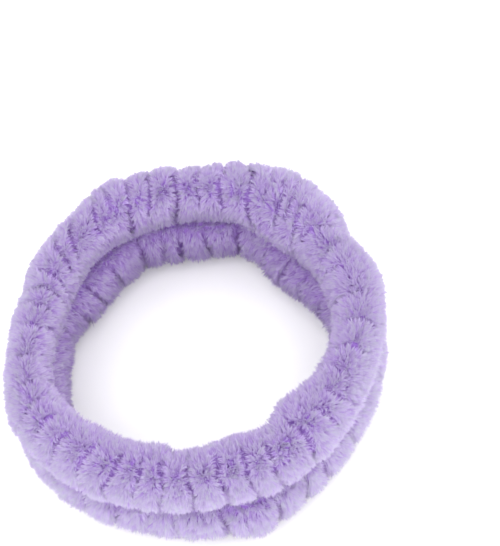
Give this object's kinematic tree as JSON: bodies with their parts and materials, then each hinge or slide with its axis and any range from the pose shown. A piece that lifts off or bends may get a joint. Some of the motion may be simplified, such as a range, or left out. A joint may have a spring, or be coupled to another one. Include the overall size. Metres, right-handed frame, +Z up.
{
  "type": "spa headband",
  "caption": "Gathered plush fleece headband: a puffy two-lobed ring round a stitched-in elastic band, which stretches sideways to go over a head.",
  "frame": {"origin": "on the ring's axis, on the surface that the headband stands on", "axes": "+Z up along the ring's axis, +X along the stretch towards the half with the cross seam, -Y towards the front"},
  "size_m": [0.2, 0.1998, 0.066],
  "materials": {
    "fleece": "long-pile coral fleece, lavender, matt with a soft sheen",
    "elastic": "braided white elastic tape",
    "thread": "lavender polyester sewing thread"
  },
  "bodies": {
    "left_half": {"fleece_shell_left": "fleece", "elastic_left": "elastic", "channel_needle_thread_upper_left": "thread", "channel_bobbin_thread_upper_left": "thread", "channel_needle_thread_lower_left": "thread", "channel_bobbin_thread_lower_left": "thread", "closing_seam_thread_left": "thread"},
    "right_half": {"fleece_shell_right": "fleece", "elastic_right": "elastic", "elastic_lapped_end": "elastic", "elastic_splice_zigzag": "thread", "channel_needle_thread_upper_right": "thread", "channel_bobbin_thread_upper_right": "thread", "channel_needle_thread_lower_right": "thread", "channel_bobbin_thread_lower_right": "thread", "closing_seam_thread_right": "thread", "cross_seam_thread_upper": "thread", "cross_seam_thread_lower": "thread"}
  },
  "joints": [
    {"name": "stretch", "type": "slide", "parent": "left_half", "child": "right_half", "axis": [1, 0, 0], "range_m": [0, 0.085], "stiffness_N_per_m": 70}
  ]
}
